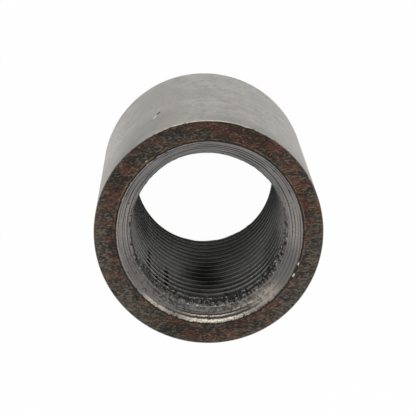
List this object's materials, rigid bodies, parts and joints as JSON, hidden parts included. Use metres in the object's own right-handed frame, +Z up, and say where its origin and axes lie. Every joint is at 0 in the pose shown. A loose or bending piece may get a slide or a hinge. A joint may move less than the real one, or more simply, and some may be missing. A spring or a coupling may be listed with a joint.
{
  "type": "threaded pipe coupling",
  "caption": "Short round steel sleeve, open right through, with a female pipe thread and a countersunk mouth at each end, for joining two threaded pipes.",
  "frame": {"origin": "centre of the lower end face, on the bore axis", "axes": "+Z up along the bore axis, towards the other end; X and Y are free, because the part is round"},
  "size_m": [0.027, 0.027, 0.034],
  "materials": {
    "steel": "bare machined steel with a light film of rust on the sawn end faces"
  },
  "bodies": {
    "root": {"coupling": "steel"}
  },
  "joints": []
}
